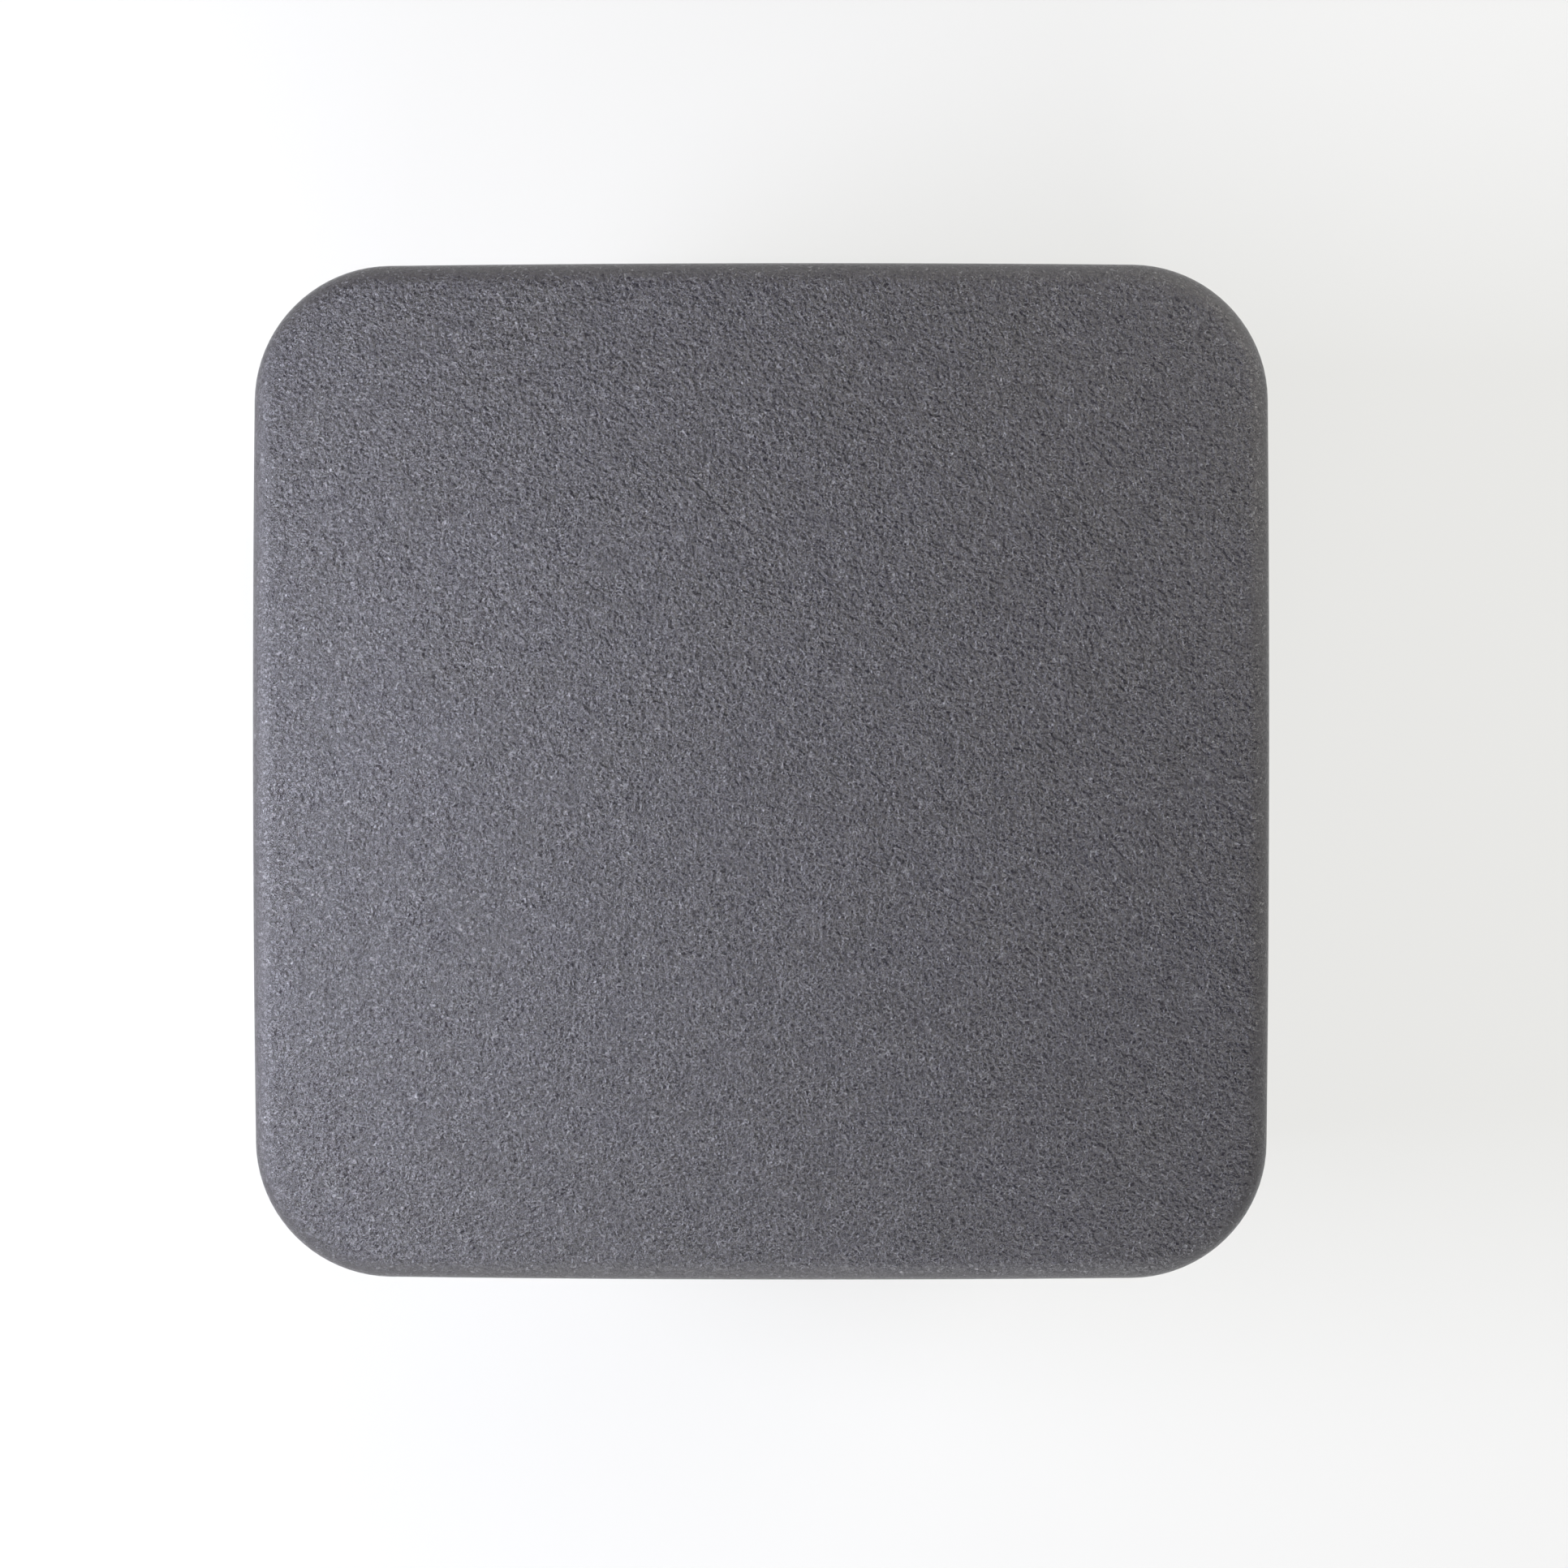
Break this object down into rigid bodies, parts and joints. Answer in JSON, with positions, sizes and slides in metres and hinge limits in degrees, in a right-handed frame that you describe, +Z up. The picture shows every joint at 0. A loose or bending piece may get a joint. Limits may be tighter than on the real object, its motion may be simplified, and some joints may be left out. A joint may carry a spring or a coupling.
{
  "type": "fence post cap",
  "caption": "Square domed cap for a square tube post, with a finned plug that pushes into the bore and a rubber gasket under its rim.",
  "frame": {"origin": "under the middle of the plug, in the plane of its lower edge, on which the loose cap stands", "axes": "+Z up out of the post through the crown, +X and +Y square to the post's sides"},
  "size_m": [0.06, 0.06, 0.03],
  "materials": {
    "head_plastic": "dark grey, fine spark-eroded grain",
    "plug_plastic": "black, plain moulded",
    "gasket_rubber": "black, die cut",
    "screw_steel": "stainless, plain"
  },
  "bodies": {
    "root": {"cap_head": "head_plastic", "rim_gasket": "gasket_rubber", "ribbed_plug": "plug_plastic", "plug_screw_1": "screw_steel", "plug_screw_2": "screw_steel", "plug_screw_3": "screw_steel", "plug_screw_4": "screw_steel"}
  },
  "joints": []
}
